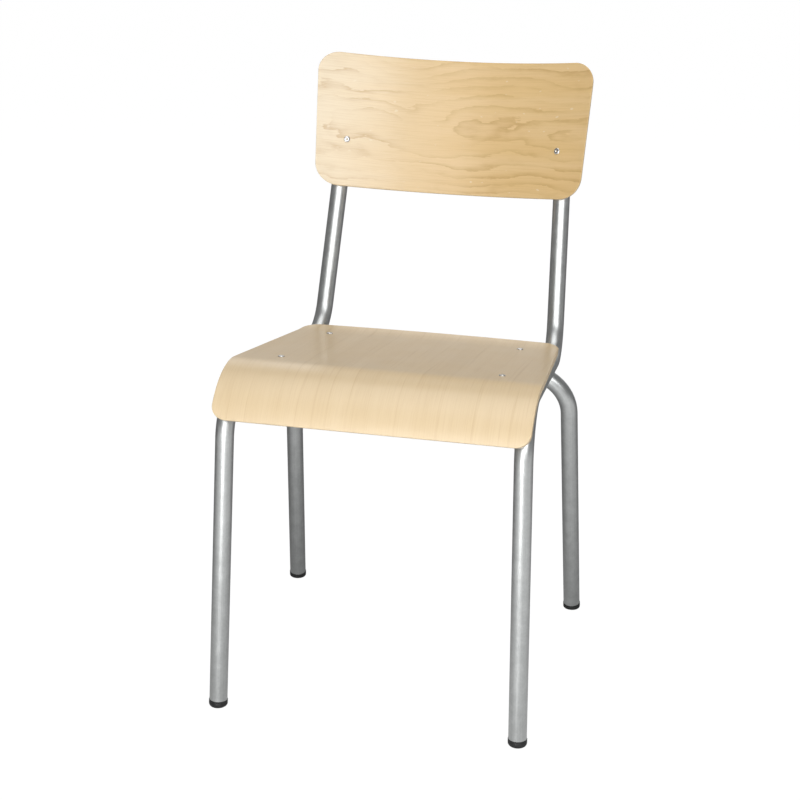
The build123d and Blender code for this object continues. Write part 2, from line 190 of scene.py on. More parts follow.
# ---------------------------------------------------------- node workbench
class Bench:
    """Adds and joins the nodes of one tree."""

    def __init__(self, tree: bpy.types.NodeTree) -> None:
        """Takes the tree that the nodes go in."""
        self.tree = tree

    def add(self, kind: str, **settings: object) -> bpy.types.Node:
        """Adds a node of a kind and sets its properties."""
        node = self.tree.nodes.new(kind)
        for name, value in settings.items():
            setattr(node, name, value)
        return node

    def feed(self, socket: bpy.types.NodeSocket, value: object) -> None:
        """Gives a socket a link or a plain value."""
        if isinstance(value, bpy.types.NodeSocket):
            self.tree.links.new(value, socket)
        elif value is not None:
            socket.default_value = value

    def feeds(self, node: bpy.types.Node, **values: object) -> None:
        """Feeds a node's named inputs, with spaces in their names written as underscores."""
        for name, value in values.items():
            self.feed(node.inputs[name.replace("_", " ")], value)

    def math(self, operation: str, *values: object) -> bpy.types.NodeSocket:
        """A Math node on up to three numbers."""
        node = self.add("ShaderNodeMath", operation=operation)
        for socket, value in zip(node.inputs, values):
            self.feed(socket, value)
        return node.outputs[0]

    def times(self, first: object, second: object) -> bpy.types.NodeSocket:
        """Two numbers multiplied."""
        return self.math("MULTIPLY", first, second)

    def plus(self, first: object, second: object) -> bpy.types.NodeSocket:
        """Two numbers added."""
        return self.math("ADD", first, second)

    def swing(self, noise: object, reach: float, base: object) -> bpy.types.NodeSocket:
        """A noise centred on zero, scaled to a reach and added to a base."""
        return self.math("MULTIPLY_ADD", self.math("SUBTRACT", noise, 0.5), reach, base)

    def object_place(self) -> bpy.types.NodeSocket:
        """The object's own coordinates."""
        return self.add("ShaderNodeTexCoord").outputs["Object"]

    def by_ray(self, kind: str, other: object, chosen: object) -> bpy.types.NodeSocket:
        """One shader for a kind of ray and another for the rest."""
        node = self.add("ShaderNodeMixShader")
        ray = self.add("ShaderNodeLightPath").outputs[kind]
        for socket, value in zip(node.inputs, (ray, other, chosen)):
            self.feed(socket, value)
        return node.outputs[0]

    def spread(self, value: object, low: float, high: float, to_low: float = 0.0,
               to_high: float = 1.0, smooth: bool = True) -> bpy.types.NodeSocket:
        """Maps a number from one range to another, clamped at both ends."""
        node = self.add("ShaderNodeMapRange")
        node.interpolation_type = "SMOOTHSTEP" if smooth else "LINEAR"
        for socket, number in zip(node.inputs, (value, low, high, to_low, to_high)):
            self.feed(socket, number)
        return node.outputs[0]

    def attribute(self, name: str, output: str) -> bpy.types.NodeSocket:
        """An attribute stored in the mesh."""
        return self.add("ShaderNodeAttribute", attribute_name=name).outputs[output]

    def split(self, vector: bpy.types.NodeSocket) -> list[bpy.types.NodeSocket]:
        """The three numbers of a vector."""
        node = self.add("ShaderNodeSeparateXYZ")
        self.feed(node.inputs[0], vector)
        return list(node.outputs)

    def join(self, x: object, y: object, z: object) -> bpy.types.NodeSocket:
        """A vector of three numbers."""
        node = self.add("ShaderNodeCombineXYZ")
        for socket, value in zip(node.inputs, (x, y, z)):
            self.feed(socket, value)
        return node.outputs[0]

    def stretch(self, vector: object, scale: tuple[float, float, float],
                shift: tuple[float, float, float] = (0.0, 0.0, 0.0)) -> bpy.types.NodeSocket:
        """A vector scaled and shifted on each axis."""
        node = self.add("ShaderNodeMapping")
        self.feeds(node, Vector=vector, Scale=scale, Location=shift)
        return node.outputs[0]

    def noise(self, vector: object, scale: float, detail: float = 2.0, rough: float = 0.5,
              warp: float = 0.0) -> bpy.types.NodeSocket:
        """A noise from 0 to 1."""
        node = self.add("ShaderNodeTexNoise")
        self.feeds(node, Vector=vector, Scale=scale, Detail=detail)
        self.feeds(node, Roughness=rough, Distortion=warp)
        return node.outputs["Fac"]

    def mix(self, amount: object, first: object, second: object) -> bpy.types.NodeSocket:
        """Two colours mixed."""
        node = self.add("ShaderNodeMix", data_type="RGBA")
        self.feed(node.inputs[0], amount)
        self.feed(node.inputs[6], first)
        self.feed(node.inputs[7], second)
        return node.outputs[2]

    def bump(self, height: object, strength: float, distance: float,
             normal: object = None) -> bpy.types.NodeSocket:
        """A bumped normal."""
        node = self.add("ShaderNodeBump")
        self.feeds(node, Strength=strength, Distance=distance, Height=height, Normal=normal)
        return node.outputs[0]


def new_material(name: str) -> tuple[bpy.types.Material, Bench, bpy.types.Node]:
    """An empty node material with its bench and its one surface shader."""
    material = bpy.data.materials.new(name)
    material.use_nodes = True
    bench = Bench(material.node_tree)
    shader = material.node_tree.nodes["Principled BSDF"]
    return material, bench, shader


# ----------------------------------------------------------------- finishes
@dataclass(frozen=True)
class TubeSteel:
    """Drawn steel tube under a thin zinc-grey finish.

    The streaks follow the tube through the attributes "round", a unit vector
    round the section, and "along", which "metre" scales to match it.
    """

    name: str = "drawn_zinc_steel"
    dark: Colour = (0.54, 0.555, 0.55, 1.0)
    light: Colour = (0.68, 0.695, 0.69, 1.0)
    speck: Colour = (0.30, 0.30, 0.295, 1.0)
    smooth: float = 0.33
    dull: float = 0.43
    metre: float = 80.0

    def build(self) -> bpy.types.Material:
        """Makes the material.

        Returns:
            The finished material.
        """
        material, b, shader = new_material(self.name)
        around = b.split(b.attribute("round", "Vector"))
        along = b.attribute("along", "Fac")
        reach = b.times(along, self.metre)
        skin = b.join(around[0], around[1], reach)
        streak = b.noise(b.stretch(skin, (9.0, 9.0, 0.10)), 1.0, 3.0, 0.6)
        hair = b.noise(b.stretch(skin, (42.0, 42.0, 0.45)), 1.0, 2.0, 0.6)
        cloud = b.noise(skin, 0.8, 3.0, 0.55, 0.4)
        spangle = b.noise(skin, 3.4, 2.0, 0.6)
        tone = b.plus(b.times(streak, 0.40), b.times(cloud, 0.35))
        tone = b.plus(tone, b.times(spangle, 0.25))
        tone = b.spread(tone, 0.32, 0.68)
        body = b.mix(tone, self.dark, self.light)
        pits = b.spread(b.noise(skin, 7.0, 1.0, 0.5), 0.80, 0.86)
        b.feeds(shader, Base_Color=b.mix(pits, body, self.speck), Metallic=1.0)
        rough = b.plus(b.times(cloud, 0.6), b.times(hair, 0.4))
        b.feed(shader.inputs["Roughness"], b.spread(rough, 0.3, 0.7, self.smooth, self.dull))
        lines = b.plus(b.times(hair, 0.7), b.times(streak, 0.3))
        normal = b.bump(lines, 0.10, 0.0004)
        b.feed(shader.inputs["Normal"], b.bump(spangle, 0.05, 0.0006, normal))
        return material


@dataclass(frozen=True)
class Figure:
    """The figure of a face veneer: how strongly each kind of mark shows."""

    flames: float = 0.0
    ring_density: float = 66.0
    streaks: float = 0.0
    fibres: float = 0.12
    bands: float = 1.0
    smudges: float = 0.0
    specks: float = 0.0
    # Painted sheen: how strongly the face fades to pale cream before a place along the grain, and
    # where that fade runs. It stands in for lamp reflection on the lacquer.
    sapwood: float = 0.0
    sap_from: float = 0.0
    sap_to: float = 0.1


@dataclass(frozen=True)
class Plywood:
    """Lacquered plywood: a face veneer over cross-laid plies that show at the edge.

    The attribute "grain" holds the flattened board's coordinates in metres and
    "ply" the depth from the front face, from 0 to 1.
    """

    name: str
    way: GrainWay
    figure: Figure
    pale: Colour
    body: Colour
    line: Colour
    # Pale cream for the veneer's real light specks and for its painted sheen.
    cream: Colour = (0.80, 0.69, 0.51, 1.0)
    edge_light: Colour = (0.78, 0.63, 0.42, 1.0)
    edge_dark: Colour = (0.50, 0.35, 0.19, 1.0)
    plies: int = 7
    lacquer_rough: float = 0.34
    coat: float = 0.35
    coat_rough: float = 0.24
    face_depth: float = 0.12
    far_face_shift: float = 3.7

    def grain(self, b: Bench) -> tuple[bpy.types.NodeSocket, ...]:
        """The flat coordinates turned so that the grain runs along the first.

        Args:
            b: The material's bench.

        Returns:
            The place along the grain, the place over it and both as a vector.
        """
        x, y, _ = b.split(b.attribute("grain", "Vector"))
        far_side = b.math("GREATER_THAN", b.attribute("ply", "Fac"), 0.5)
        far_side = b.times(far_side, self.far_face_shift)
        run, over = (x, y) if self.way is GrainWay.ACROSS else (y, x)
        return run, over, b.join(run, over, far_side)

    def rings(self, b: Bench, run: object, over: object, flat: object) -> bpy.types.NodeSocket:
        """The growth rings as a flat-sawn veneer shows them: nested flames.

        Args:
            b: The material's bench.
            run: The place along the grain.
            over: The place over the grain.
            flat: Both places as a vector.

        Returns:
            The strength of the late wood, from 0 to 1.
        """
        sway = b.noise(b.stretch(flat, (4.2, 9.0, 1.0), (3.1, 0.6, 0.0)), 1.0, 1.0, 0.4)
        lift = b.noise(b.stretch(flat, (9.0, 17.0, 1.0), (1.3, 5.2, 0.0)), 1.0, 2.0, 0.5)
        middle = b.swing(sway, 0.085, 0.002)
        depth = b.math("MULTIPLY_ADD", run, -0.10, 0.020)
        depth = b.swing(lift, 0.075, depth)
        away = b.math("SUBTRACT", over, middle)
        reach = b.plus(b.times(away, away), b.times(depth, depth))
        count = b.times(b.math("SQRT", reach), self.figure.ring_density)
        ripple = b.noise(b.stretch(flat, (26.0, 120.0, 1.0)), 1.0, 3.0, 0.6)
        feather = b.noise(b.stretch(flat, (60.0, 700.0, 1.0)), 1.0, 2.0, 0.6)
        count = b.math("MULTIPLY_ADD", ripple, 0.85, count)
        count = b.math("MULTIPLY_ADD", feather, 0.16, count)
        part = b.math("FRACT", count)
        rise = b.math("POWER", b.spread(part, 0.25, 0.93, smooth=False), 2.6)
        late = b.times(rise, b.spread(part, 0.93, 1.0, 1.0, 0.0))
        patch = b.noise(b.stretch(flat, (6.0, 26.0, 1.0), (8.0, 3.0, 0.0)), 1.0, 2.0)
        return b.times(late, b.spread(patch, 0.36, 0.66, 0.10, 1.0))

    def face(self, b: Bench) -> tuple[bpy.types.NodeSocket, bpy.types.NodeSocket]:
        """The veneer's colour and its relief.

        Args:
            b: The material's bench.

        Returns:
            The colour and the height of the fibres.
        """
        fig = self.figure
        run, over, flat = self.grain(b)
        fibre = b.noise(b.stretch(flat, (14.0, 620.0, 1.0)), 1.0, 3.0, 0.65)
        band = b.noise(b.stretch(flat, (1.6, 34.0, 1.0), (4.0, 9.0, 0.0)), 1.0, 3.0, 0.55)
        pores = b.spread(b.noise(b.stretch(flat, (70.0, 1300.0, 1.0)), 1.0, 1.0), 0.64, 0.76)
        ground = b.mix(b.times(b.spread(band, 0.3, 0.7), fig.bands), self.body, self.pale)
        # Painted sheen: pale cream laid over the veneer up to a wavering place along the grain,
        # standing in for lamp reflection.
        drift = b.swing(band, 0.10, run)
        sheen_mask = b.times(b.spread(drift, fig.sap_from, fig.sap_to, 1.0, 0.0), fig.sapwood)
        ground = b.mix(sheen_mask, ground, self.cream)
        colour = b.mix(b.times(b.spread(fibre, 0.40, 0.75), fig.fibres), ground, self.line)
        if fig.flames:
            late = self.rings(b, run, over, flat)
            colour = b.mix(b.times(late, fig.flames), colour, self.line)
        streak = b.noise(b.stretch(flat, (3.0, 150.0, 1.0), (2.0, 6.0, 0.0)), 1.0, 3.0, 0.6)
        smudge = b.noise(b.stretch(flat, (15.0, 32.0, 1.0), (0.4, 2.2, 0.0)), 1.0, 2.0, 0.5)
        speck = b.noise(b.stretch(flat, (90.0, 150.0, 1.0)), 1.0, 0.0)
        for noise, low, high, amount, tint in (
            (streak, 0.54, 0.74, fig.streaks, self.line),
            (smudge, 0.62, 0.78, fig.smudges, self.line),
            (speck, 0.79, 0.84, fig.specks, self.cream),
        ):
            if amount:
                colour = b.mix(b.times(b.spread(noise, low, high), amount), colour, tint)
        colour = b.mix(b.times(pores, 0.14), colour, self.line)
        height = b.math("SUBTRACT", fibre, b.times(pores, 0.8))
        return colour, height

    def build(self) -> bpy.types.Material:
        """Makes the material.

        Returns:
            The finished material.
        """
        material, b, shader = new_material(self.name)
        colour, height = self.face(b)
        depth = b.attribute("ply", "Fac")
        layer = b.times(depth, float(self.plies))
        odd = b.math("GREATER_THAN", b.math("MODULO", layer, 2.0), 1.0)
        glue = b.spread(b.math("PINGPONG", layer, 0.5), 0.0, 0.08, 1.0, 0.0)
        place = b.object_place()
        end_grain = b.spread(b.noise(place, 900.0, 2.0, 0.7), 0.3, 0.7)
        light = b.mix(b.times(end_grain, 0.25), self.edge_light, self.edge_dark)
        dark = b.mix(end_grain, self.edge_dark, self.edge_light)
        edge = b.mix(b.times(odd, 0.55), light, dark)
        edge = b.mix(b.times(glue, 0.45), edge, self.edge_dark)
        under = b.math("GREATER_THAN", depth, self.face_depth)
        inner = b.times(under, b.math("LESS_THAN", depth, 1.0 - self.face_depth))
        b.feed(shader.inputs["Base Color"], b.mix(inner, colour, edge))
        wear = b.noise(place, 14.0, 3.0, 0.5)
        satin = b.spread(wear, 0.3, 0.7, self.lacquer_rough - 0.03, self.lacquer_rough + 0.05)
        b.feed(shader.inputs["Roughness"], b.plus(satin, b.times(inner, 0.25)))
        b.feeds(shader, Coat_Weight=self.coat, Coat_Roughness=self.coat_rough)
        b.feed(shader.inputs["Normal"], b.bump(height, 0.08, 0.00025))
        return material


@dataclass(frozen=True)
class CapPlastic:
    """Fine matte black moulded plastic, scuffed where it meets the floor."""

    name: str
    black: Colour = (0.010, 0.0105, 0.011, 1.0)
    scuff: Colour = (0.065, 0.065, 0.062, 1.0)
    scuff_height: float = 0.0035

    def build(self) -> bpy.types.Material:
        """Makes the material.

        Returns:
            The finished material.
        """
        material, b, shader = new_material(self.name)
        place = b.object_place()
        height = b.split(place)[2]
        grain = b.noise(place, 1400.0, 2.0, 0.6)
        patches = b.noise(place, 160.0, 3.0, 0.6)
        low = b.spread(height, 0.0, self.scuff_height, 1.0, 0.0)
        worn = b.times(low, b.spread(patches, 0.42, 0.62))
        dust = b.times(b.spread(patches, 0.35, 0.75), 0.18)
        amount = b.math("MAXIMUM", worn, dust)
        rough = b.spread(patches, 0.3, 0.7, 0.42, 0.60)
        b.feeds(shader, Base_Color=b.mix(amount, self.black, self.scuff), Roughness=rough)
        b.feed(shader.inputs["Normal"], b.bump(grain, 0.18, 0.0003))
        return material


@dataclass(frozen=True)
class RivetSteel:
    """Bright rivet head with fine turning marks and painted shade that darkens its bore."""

    name: str = "bright_rivet_steel"
    bright: Colour = (0.80, 0.80, 0.79, 1.0)
    grey: Colour = (0.55, 0.55, 0.545, 1.0)
    # Near-black painted shade for the walls and floor of the bore.
    hollow: Colour = (0.035, 0.034, 0.033, 1.0)

    def build(self) -> bpy.types.Material:
        """Makes the material.

        Returns:
            The finished material.
        """
        material, b, shader = new_material(self.name)
        place = b.object_place()
        marks = b.noise(place, 1100.0, 3.0, 0.6)
        # Painted shade: the bore's walls and floor take the near-black colour where shade falls in
        # the hole.
        deep = b.attribute("hollow", "Fac")
        skin = b.mix(b.spread(marks, 0.35, 0.65), self.grey, self.bright)
        rough = b.spread(marks, 0.3, 0.7, 0.16, 0.34)
        b.feeds(shader, Base_Color=b.mix(deep, skin, self.hollow), Metallic=1.0, Roughness=rough)
        b.feed(shader.inputs["Normal"], b.bump(marks, 0.06, 0.0003))
        return material


@dataclass(frozen=True)
class WeldSteel:
    """Rippled weld metal under the frame's grey finish, with a little heat stain."""

    name: str = "grey_weld_steel"
    grey: Colour = (0.42, 0.42, 0.415, 1.0)
    stain: Colour = (0.20, 0.17, 0.14, 1.0)

    def build(self) -> bpy.types.Material:
        """Makes the material.

        Returns:
            The finished material.
        """
        material, b, shader = new_material(self.name)
        place = b.object_place()
        cloud = b.noise(place, 120.0, 3.0, 0.6)
        grit = b.noise(place, 900.0, 2.0, 0.6)
        skin = b.mix(b.spread(cloud, 0.4, 0.75), self.grey, self.stain)
        rough = b.spread(grit, 0.3, 0.7, 0.36, 0.58)
        b.feeds(shader, Base_Color=skin, Metallic=1.0, Roughness=rough)
        b.feed(shader.inputs["Normal"], b.bump(grit, 0.25, 0.0004))
        return material


# ------------------------------------------------------------ geometry trees
class GeometryTree:
    """A geometry node tree that ends in Realize Instances and Set Material."""

    def __init__(self, name: str) -> None:
        """Makes the empty tree with its geometry in and out."""
        self.tree = bpy.data.node_groups.new(name, "GeometryNodeTree")
        self.bench = Bench(self.tree)
        self.identifiers: dict[str, str] = {}
        self._socket("Geometry", "NodeSocketGeometry", None)
        self.tree.interface.new_socket(
            "Geometry", in_out="OUTPUT", socket_type="NodeSocketGeometry"
        )
        self.source = self.bench.add("NodeGroupInput")
        self.sink = self.bench.add("NodeGroupOutput")

    def _socket(self, name: str, kind: str, value: object) -> None:
        """Adds one named input and keeps its identifier."""
        item = self.tree.interface.new_socket(name, in_out="INPUT", socket_type=kind)
        if value is not None:
            item.default_value = value
        self.identifiers[name] = item.identifier

    def size(self, name: str, value: float) -> bpy.types.NodeSocket:
        """Adds a named number input and gives its output socket."""
        self._socket(name, "NodeSocketFloat", value)
        return self.source.outputs[name]

    def count(self, name: str, value: int) -> bpy.types.NodeSocket:
        """Adds a named whole number input and gives its output socket."""
        self._socket(name, "NodeSocketInt", value)
        return self.source.outputs[name]

    def thing(self, name: str) -> bpy.types.NodeSocket:
        """Adds a named object input and gives its output socket."""
        self._socket(name, "NodeSocketObject", None)
        return self.source.outputs[name]

    def finish(self, geometry: bpy.types.NodeSocket) -> None:
        """Realizes the result and gives it its material."""
        self._socket("Finish", "NodeSocketMaterial", None)
        real = self.bench.add("GeometryNodeRealizeInstances")
        self.bench.feed(real.inputs[0], geometry)
        dress = self.bench.add("GeometryNodeSetMaterial")
        self.bench.feed(dress.inputs["Geometry"], real.outputs[0])
        self.bench.feed(dress.inputs["Material"], self.source.outputs["Finish"])
        self.bench.feed(self.sink.inputs[0], dress.outputs[0])

    def bake(self, carrier: bpy.types.Object, name: str, **values: object) -> bpy.types.Object:
        """Runs the tree on an object and keeps the result as a plain mesh.

        Args:
            carrier: The object that the tree starts from. It is removed.
            name: The name of the finished piece.
            values: The named inputs, with spaces written as underscores.

        Returns:
            The finished piece, with no modifier left on it.
        """
        modifier = carrier.modifiers.new("build", "NODES")
        modifier.node_group = self.tree
        for key, value in values.items():
            modifier[self.identifiers[key.replace("_", " ")]] = value
        carrier.update_tag()
        bpy.context.view_layer.update()
        graph = bpy.context.evaluated_depsgraph_get()
        mesh = bpy.data.meshes.new_from_object(carrier.evaluated_get(graph))
        carrier.modifiers.remove(modifier)
        bpy.data.objects.remove(carrier)
        mesh.name = name
        return object_of(name, mesh)


def store(b: Bench, geometry: object, name: str, kind: str, value: object) -> bpy.types.NodeSocket:
    """Stores a named point attribute on a geometry."""
    node = b.add("GeometryNodeStoreNamedAttribute", data_type=kind, domain="POINT")
    b.feeds(node, Geometry=geometry, Name=name, Value=value)
    return node.outputs[0]


def tube_tree() -> GeometryTree:
    """The tree that sweeps a round tube along a path of edges.

    Returns:
        The tree, with the inputs Radius, Sides and Finish.
    """
    t = GeometryTree("sweep_tube")
    b = t.bench
    radius = t.size("Radius", 0.0125)
    sides = t.count("Sides", 64)
    curve = b.add("GeometryNodeMeshToCurve")
    b.feed(curve.inputs[0], t.source.outputs["Geometry"])
    length = b.add("GeometryNodeSplineParameter").outputs["Length"]
    line = store(b, curve.outputs[0], "along", "FLOAT", length)
    circle = b.add("GeometryNodeCurvePrimitiveCircle")
    b.feeds(circle, Resolution=sides, Radius=radius)
    unit = b.add("ShaderNodeVectorMath", operation="NORMALIZE")
    b.feed(unit.inputs[0], b.add("GeometryNodeInputPosition").outputs[0])
    profile = store(b, circle.outputs[0], "round", "FLOAT_VECTOR", unit.outputs[0])
    sweep = b.add("GeometryNodeCurveToMesh")
    b.feeds(sweep, Curve=line, Profile_Curve=profile, Fill_Caps=True)
    smooth = b.add("GeometryNodeSetShadeSmooth")
    b.feed(smooth.inputs[0], sweep.outputs[0])
    t.finish(smooth.outputs[0])
    return t


def bead_tree() -> GeometryTree:
    """The tree that lays a rippled weld bead along a closed path of edges.

    Returns:
        The tree, with the inputs Width, Ripple Length, Ripple Depth, Seed and Finish.
    """
    t = GeometryTree("lay_weld_bead")
    b = t.bench
    width = t.size("Width", 0.002)
    pitch = t.size("Ripple Length", 0.0016)
    depth = t.size("Ripple Depth", 0.16)
    seed = t.count("Seed", 3)
    curve = b.add("GeometryNodeMeshToCurve")
    b.feed(curve.inputs[0], t.source.outputs["Geometry"])
    fine = b.add("GeometryNodeResampleCurve")
    b.feeds(fine, Curve=curve.outputs[0], Count=240)
    length = b.add("GeometryNodeSplineParameter").outputs["Length"]
    phase = b.math("FRACT", b.math("DIVIDE", length, pitch))
    wave = b.times(b.math("POWER", phase, 1.6), depth)
    jitter = b.add("ShaderNodeTexNoise", noise_dimensions="4D")
    b.feeds(jitter, Vector=b.add("GeometryNodeInputPosition").outputs[0], W=seed, Scale=260.0)
    uneven = b.times(b.math("SUBTRACT", jitter.outputs[0], 0.5), 0.5)
    scale = b.plus(b.plus(0.92, wave), uneven)
    circle = b.add("GeometryNodeCurvePrimitiveCircle")
    b.feeds(circle, Resolution=14, Radius=1.0)
    sweep = b.add("GeometryNodeCurveToMesh")
    thick = b.times(width, scale)
    b.feeds(sweep, Curve=fine.outputs[0], Profile_Curve=circle.outputs[0], Scale=thick)
    smooth = b.add("GeometryNodeSetShadeSmooth")
    b.feed(smooth.inputs[0], sweep.outputs[0])
    t.finish(smooth.outputs[0])
    return t


def rivet_tree() -> GeometryTree:
    """The tree that sets a rivet at each point, turned to the attribute "aim".

    Returns:
        The tree, with the inputs Rivet, Seed and Finish.
    """
    t = GeometryTree("set_rivets")
    b = t.bench
    rivet = t.thing("Rivet")
    seed = t.count("Seed", 11)
    info = b.add("GeometryNodeObjectInfo")
    b.feed(info.inputs["Object"], rivet)
    aim = b.add("GeometryNodeInputNamedAttribute", data_type="FLOAT_VECTOR")
    aim.inputs["Name"].default_value = "aim"
    spin = b.add("FunctionNodeRandomValue", data_type="FLOAT")
    spin.inputs[3].default_value = math.tau
    b.feed(spin.inputs["Seed"], seed)
    start = b.add("FunctionNodeEulerToRotation")
    b.feed(start.inputs[0], b.join(0.0, 0.0, spin.outputs[1]))
    turn = b.add("FunctionNodeAlignRotationToVector", axis="Z")
    b.feeds(turn, Rotation=start.outputs[0], Vector=aim.outputs["Attribute"])
    place = b.add("GeometryNodeInstanceOnPoints")
    rows = t.source.outputs["Geometry"]
    b.feeds(place, Points=rows, Instance=info.outputs["Geometry"], Rotation=turn.outputs[0])
    t.finish(place.outputs[0])
    return t


# ------------------------------------------------------------- sub-assembly
def hand_over(piece: bpy.types.Object, slot: str, *nodes: str) -> None:
    """Puts a finished piece on the chair in place of its CAD nodes."""
    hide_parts(*nodes)
    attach(piece, BODY)
    LOG.info("%s stands for %s", piece.name, ", ".join(nodes))


@dataclass
class TubeFrame:
    """The two side tubes, the rear leg tube and the two cross tubes."""

    radius: float = 0.0125
    cross_radius: float = 0.010
    cross_lift: float = 0.002
    foot_height: float = 0.010
    front_bend: float = 0.073
    rear_bend: float = 0.064
    hoop_bend: float = 0.065
    cross_bite: float = 0.0085
    path_step: float = 0.02
    sides: int = 64
    cross_sides: int = 48
    front_foot: Vector = field(default_factory=lambda: Vector((0.211, -0.278, 0.0)))
    front_corner: Vector = field(default_factory=lambda: Vector((0.199, -0.250, 0.4677)))
    rear_corner: Vector = field(default_factory=lambda: Vector((0.1802, 0.1386, 0.415)))
    upright_top: Vector = field(default_factory=lambda: Vector((0.164, 0.266, 0.800)))
    rear_foot: Vector = field(default_factory=lambda: Vector((0.224, 0.152, 0.0)))
    hoop_corner: Vector = field(default_factory=lambda: Vector((0.2098, 0.089, 0.4038)))

    def leg_start(self, foot: Vector, corner: Vector) -> Vector:
        """The bottom of a leg tube, on top of its foot cap."""
        return foot + (corner - foot).normalized() * self.foot_height

    def side_path(self, side: Side) -> list[Vector]:
        """Front leg, seat rail and upright of one side, as points."""
        corners = [
            self.leg_start(self.front_foot, self.front_corner),
            self.front_corner,
            self.rear_corner,
            self.upright_top,
        ]
        corners = [both_sides(p, side) for p in corners]
        return rounded_path(corners, [self.front_bend, self.rear_bend])

    def hoop_path(self) -> list[Vector]:
        """Rear legs and their cross run, as points."""
        start = self.leg_start(self.rear_foot, self.hoop_corner)
        corners = [start, self.hoop_corner]
        corners += [both_sides(self.hoop_corner, Side.LEFT), both_sides(start, Side.LEFT)]
        return rounded_path(corners, [self.hoop_bend, self.hoop_bend])

    def rail_at(self, y: float) -> Vector:
        """The right rail's centre line at a depth y."""
        part = (y - self.front_corner.y) / (self.rear_corner.y - self.front_corner.y)
        return self.front_corner.lerp(self.rear_corner, part)

    def build(self, tree: GeometryTree, steel: bpy.types.Material) -> None:
        """Sweeps every tube and puts it on the chair.

        Args:
            tree: The tube sweeping tree.
            steel: The tubes' finish.
        """
        runs = [
            (f"{side.word}_side_tube", f"tube_{side.word}_side", self.side_path(side))
            for side in Side
        ]
        runs.append(("rear_leg_tube", "tube_rear_legs", self.hoop_path()))
        for node, name, path in runs:
            carrier = thread(node + "_path", even_path(path, self.path_step))
            piece = tree.bake(carrier, name, Radius=self.radius, Sides=self.sides, Finish=steel)
            self.compare(piece, node)
            hand_over(piece, "frame_steel", node)
        for node in ("front_cross_tube", "rear_cross_tube"):
            centre = middle_of(node)
            reach = Vector((self.rail_at(centre.y).x - self.cross_bite, 0, 0))
            path = even_path([centre - reach, centre + reach], self.path_step)
            carrier = thread(node + "_path", path)
            name = node.replace("_tube", "_member")
            piece = tree.bake(
                carrier, name, Radius=self.cross_radius, Sides=self.cross_sides, Finish=steel
            )
            hand_over(piece, "frame_steel", node)

    @staticmethod
    def compare(piece: bpy.types.Object, node: str) -> None:
        """Logs how far a swept tube's box is from its CAD node's box."""
        low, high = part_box(node)
        points = [v.co for v in piece.data.vertices]
        off = 0.0
        for axis in range(3):
            values = [p[axis] for p in points]
            off = max(off, abs(min(values) - low[axis]), abs(max(values) - high[axis]))
        LOG.info("%s differs from its CAD node by %.2f mm", piece.name, off * 1000)


@dataclass
class WeldBeads:
    """The beads round the cross tubes' ends and between the rails and rear legs."""

    frame_tubes: TubeFrame
    width: float = 0.0019
    ripple_length: float = 0.0017
    ripple_depth: float = 0.22
    ring_radius: float = 0.0056
    seam_gap: float = 0.0004
    search_step: float = 0.002
    search_reach: float = 0.03
    inner_limit: float = 0.1
    first_seed: int = 3

    def cross_ring(self, centre: Vector, side: Side) -> list[Vector]:
        """The seam between a cross tube and a rail, as a closed run of points."""
        tubes = self.frame_tubes
        rail = tubes.rail_at(centre.y)
        points = []
        for cos, sin in round_steps(72):
            y = cos * (tubes.cross_radius + self.seam_gap)
            z = sin * (tubes.cross_radius + self.seam_gap) + tubes.cross_lift
            inward = math.sqrt(max(0.0, (tubes.radius + self.seam_gap) ** 2 - z * z))
            x = (rail.x - inward) * side.value
            points.append(Vector((x, centre.y + y, rail.z + z)))
        return points

    def hoop_ring(self, side: Side) -> list[Vector]:
        """The seam where a rail rests on the rear leg tube, as a closed run of points."""
        tubes = self.frame_tubes
        rail = even_path(tubes.side_path(side), self.search_step)
        rail = [p for p in rail if abs(p.y - tubes.hoop_corner.y) < self.search_reach]
        hoop = even_path(tubes.hoop_path(), self.search_step)
        hoop = [p for p in hoop if p.x * side.value > self.inner_limit]
        _, i, j = min(
            ((a - b).length, i, j) for i, a in enumerate(rail) for j, b in enumerate(hoop)
        )
        top, low = rail[i], hoop[j]
        normal = (top - low).normalized()
        across = normal.orthogonal().normalized()
        ahead = normal.cross(across)
        middle = (top + low) / 2
        around = [across * cos + ahead * sin for cos, sin in round_steps(60)]
        return [middle + way * self.ring_radius for way in around]

    def build(self, tree: GeometryTree, steel: bpy.types.Material) -> None:
        """Lays every bead and puts it on the chair.

        Args:
            tree: The bead laying tree.
            steel: The beads' finish.
        """
        rings = []
        for end in ("front", "rear"):
            centre = middle_of(f"{end}_cross_tube")
            rings += [(self.cross_ring(centre, side), f"weld_{end}_{side.word}") for side in Side]
        rings += [(self.hoop_ring(side), f"weld_hoop_{side.word}") for side in Side]
        for index, (ring, node) in enumerate(rings):
            self.lay(tree, ring, node, steel, self.first_seed + 2 * index)

    def lay(self, tree: GeometryTree, ring: list[Vector], node: str,
            steel: bpy.types.Material, seed: int) -> None:
        """Lays one bead along its ring in place of its CAD node."""
        carrier = thread(node + "_path", ring, closed=True)
        piece = tree.bake(
            carrier,
            node.replace("weld", "bead"),
            Width=self.width,
            Ripple_Length=self.ripple_length,
            Ripple_Depth=self.ripple_depth,
            Seed=seed,
            Finish=steel,
        )
        hand_over(piece, "weld_steel", node)


